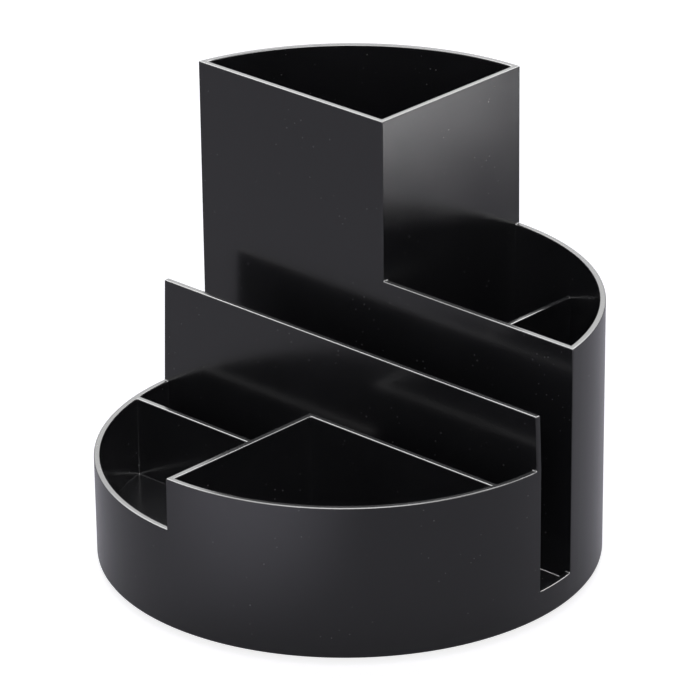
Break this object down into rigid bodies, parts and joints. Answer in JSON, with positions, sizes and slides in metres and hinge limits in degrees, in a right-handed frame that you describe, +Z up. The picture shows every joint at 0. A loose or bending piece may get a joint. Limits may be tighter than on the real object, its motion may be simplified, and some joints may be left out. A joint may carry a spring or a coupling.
{
  "type": "rotating desk organizer",
  "caption": "Round black plastic desk organizer with stepped open compartments and a note slot, turning on a low ball turntable hidden under its floor.",
  "frame": {"origin": "on the axis that the organizer turns about, in the plane of the desk that the feet stand on", "axes": "+Z up along the turning axis; +X along the note slot to the right as seen from the low front; +Y to the rear, where the tall pen cup stands"},
  "size_m": [0.1404, 0.1408, 0.1231],
  "materials": {
    "organizer_plastic": "black polystyrene, semi-gloss as moulded",
    "base_plastic": "black polypropylene, fine matte texture",
    "foot_rubber": "soft dark grey rubber, matte",
    "bearing_nylon": "natural nylon, slightly waxy",
    "ball_steel": "polished carbon steel",
    "plated_steel": "zinc plated steel"
  },
  "bodies": {
    "base": {"base_disc": "base_plastic", "pivot_bush": "bearing_nylon", "rubber_foot_1": "foot_rubber", "rubber_foot_2": "foot_rubber", "rubber_foot_3": "foot_rubber", "rubber_foot_4": "foot_rubber", "rubber_foot_5": "foot_rubber", "rubber_foot_6": "foot_rubber"},
    "cage": {"ball_cage": "bearing_nylon", "ball_01": "ball_steel", "ball_02": "ball_steel", "ball_03": "ball_steel", "ball_04": "ball_steel", "ball_05": "ball_steel", "ball_06": "ball_steel", "ball_07": "ball_steel", "ball_08": "ball_steel", "ball_09": "ball_steel", "ball_10": "ball_steel", "ball_11": "ball_steel", "ball_12": "ball_steel"},
    "organizer": {"organizer_body": "organizer_plastic", "pivot_washer": "plated_steel", "pivot_screw": "plated_steel"}
  },
  "joints": [
    {"name": "organizer_spin", "type": "hinge", "parent": "base", "child": "organizer", "pos_m": [0, 0, 0], "axis": [0, 0, 1], "continuous": true},
    {"name": "cage_spin", "type": "hinge", "parent": "base", "child": "cage", "pos_m": [0, 0, 0], "axis": [0, 0, 1], "continuous": true}
  ],
  "couplings": [
    {"joint": "cage_spin", "follows": "organizer_spin", "ratio": 0.5}
  ]
}
